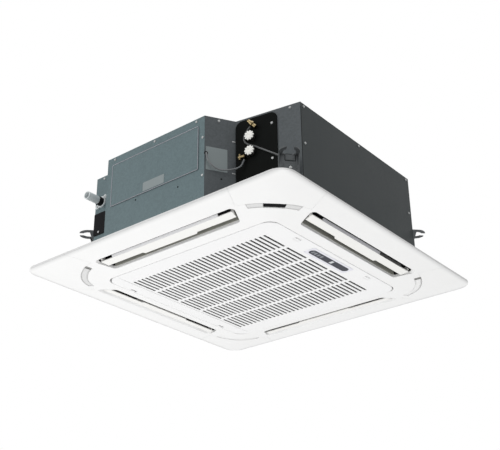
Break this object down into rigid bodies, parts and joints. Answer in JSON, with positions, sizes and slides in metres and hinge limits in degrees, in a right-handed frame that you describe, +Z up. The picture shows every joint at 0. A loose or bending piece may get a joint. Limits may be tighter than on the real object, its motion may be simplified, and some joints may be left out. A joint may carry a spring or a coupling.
{
  "type": "cassette fan coil unit",
  "caption": "Ceiling cassette fan coil unit: square white panel with slotted intake grille and swing flaps, under a sheet-metal cabinet with hanger lugs and a corner pipe recess.",
  "frame": {"origin": "centre of the panel on the ceiling plane, which is the top edge of the panel's rim", "axes": "+Z up into the ceiling, -Y towards the drain side, +X towards the side right of the pipe recess"},
  "size_m": [0.95, 0.95, 0.3456],
  "materials": {
    "white_panel": "smooth moulded white",
    "flap_white": "smooth moulded warm white",
    "grille_white": "smooth moulded white",
    "display_frame": "smooth pale lilac",
    "display_window": "dark translucent gloss",
    "filter_net": "fine woven net",
    "galvanised": "galvanised sheet with faint spangle",
    "cover_sheet": "galvanised sheet",
    "bracket_steel": "zinc-plated",
    "screw_steel": "zinc-plated",
    "black_plate": "matt black",
    "spigot_grey": "translucent grey",
    "copper": "drawn copper tube",
    "brass": "machined brass",
    "cap_white": "moulded white",
    "cable_grey": "soft grey sleeve",
    "coil_aluminium": "close fins",
    "pan_foam": "expanded foam",
    "liner_foam": "closed-cell foam",
    "mouth_grey": "moulded grey",
    "fan_grey": "moulded grey",
    "motor_metal": "drawn shell",
    "shaft_steel": "ground",
    "black_plastic": "moulded black",
    "mount_rubber": "soft",
    "pump_plastic": "moulded",
    "box_steel": "galvanised sheet",
    "board_green": "lacquered",
    "lining_black": "matt black foam",
    "seal_foam": "closed-cell foam"
  },
  "bodies": {
    "unit": {"panel_frame": "white_panel", "panel_seal": "seal_foam", "dark_linings": "lining_black", "grille_hinge_pins": "shaft_steel", "front_plate": "cover_sheet", "right_plate": "galvanised", "rear_plate": "galvanised", "left_plate": "galvanised", "pipe_plate": "galvanised", "top_plate": "galvanised", "access_cover": "cover_sheet", "insulation_liner": "liner_foam", "fixing_screws": "screw_steel", "drain_spigot": "spigot_grey", "pump_cover": "black_plate", "pipe_seal_plate": "black_plate", "return_connection": "copper", "supply_connection": "copper", "brass_valves": "brass", "cable_loop": "cable_grey", "vent_hose": "cable_grey", "coil_fins": "coil_aluminium", "coil_headers": "copper", "drain_pan": "pan_foam", "bell_mouth": "mouth_grey", "fan_motor": "motor_metal", "motor_mounts": "mount_rubber", "drain_pump": "pump_plastic", "float_switch": "pump_plastic", "control_box": "box_steel", "circuit_board": "board_green", "swing_motor_front": "black_plastic", "swing_motor_right": "black_plastic", "swing_motor_rear": "black_plastic", "swing_motor_left": "black_plastic", "corner_cover_right": "white_panel", "hanger_bracket_right": "bracket_steel", "corner_cover_far": "white_panel", "hanger_bracket_far": "bracket_steel", "corner_cover_left": "white_panel", "hanger_bracket_left": "bracket_steel", "corner_cover_near": "white_panel", "hanger_bracket_near": "bracket_steel"},
    "fan": {"fan_wheel": "fan_grey", "motor_shaft": "shaft_steel", "fan_nut": "screw_steel"},
    "grille": {"intake_grille": "grille_white", "air_filter": "filter_net", "display_housing": "display_frame", "display_window": "display_window"},
    "latch_front": {"grille_latch_front": "grille_white"},
    "latch_rear": {"grille_latch_rear": "grille_white"},
    "cap_return": {"return_cap": "cap_white"},
    "cap_supply": {"supply_cap": "cap_white"},
    "valve_handle": {"drain_valve_handle": "brass"},
    "float": {"float_ball": "pump_plastic"},
    "flap_body_front": {"flap_front": "flap_white"},
    "flap_body_right": {"flap_right": "flap_white"},
    "flap_body_rear": {"flap_rear": "flap_white"},
    "flap_body_left": {"flap_left": "flap_white"}
  },
  "joints": [
    {"name": "fan_spin", "type": "hinge", "parent": "unit", "child": "fan", "pos_m": [0, 0, 0.2], "axis": [0, 0, 1], "continuous": true},
    {"name": "flap_front_swing", "type": "hinge", "parent": "unit", "child": "flap_body_front", "pos_m": [0, -0.38, -0.002], "axis": [1, 0, 0], "range_deg": [0, 60]},
    {"name": "flap_right_swing", "type": "hinge", "parent": "unit", "child": "flap_body_right", "pos_m": [0.38, 0, -0.002], "axis": [0, 1, 0], "range_deg": [0, 60]},
    {"name": "flap_rear_swing", "type": "hinge", "parent": "unit", "child": "flap_body_rear", "pos_m": [0, 0.38, -0.002], "axis": [-1, 0, 0], "range_deg": [0, 60]},
    {"name": "flap_left_swing", "type": "hinge", "parent": "unit", "child": "flap_body_left", "pos_m": [-0.38, 0, -0.002], "axis": [0, -1, 0], "range_deg": [0, 60]},
    {"name": "grille_swing", "type": "hinge", "parent": "unit", "child": "grille", "pos_m": [-0.302, 0, -0.02446], "axis": [0, 1, 0], "range_deg": [0, 85]},
    {"name": "latch_front_slide", "type": "slide", "parent": "grille", "child": "latch_front", "axis": [1, 0, 0], "range_m": [0, 0.006]},
    {"name": "latch_rear_slide", "type": "slide", "parent": "grille", "child": "latch_rear", "axis": [1, 0, 0], "range_m": [0, 0.006]},
    {"name": "return_cap_turn", "type": "hinge", "parent": "unit", "child": "cap_return", "pos_m": [0.24282, -0.31528, 0.246], "axis": [0.1701, -0.9854, 0], "continuous": true},
    {"name": "supply_cap_turn", "type": "hinge", "parent": "unit", "child": "cap_supply", "pos_m": [0.24282, -0.31528, 0.199], "axis": [0.1701, -0.9854, 0], "continuous": true},
    {"name": "valve_handle_turn", "type": "hinge", "parent": "unit", "child": "valve_handle", "pos_m": [0.2126, -0.31948, 0.186], "axis": [0.9854, 0.1701, 0], "range_deg": [0, 90]},
    {"name": "float_rise", "type": "slide", "parent": "unit", "child": "float", "axis": [0, 0, 1], "range_m": [0, 0.012]}
  ]
}
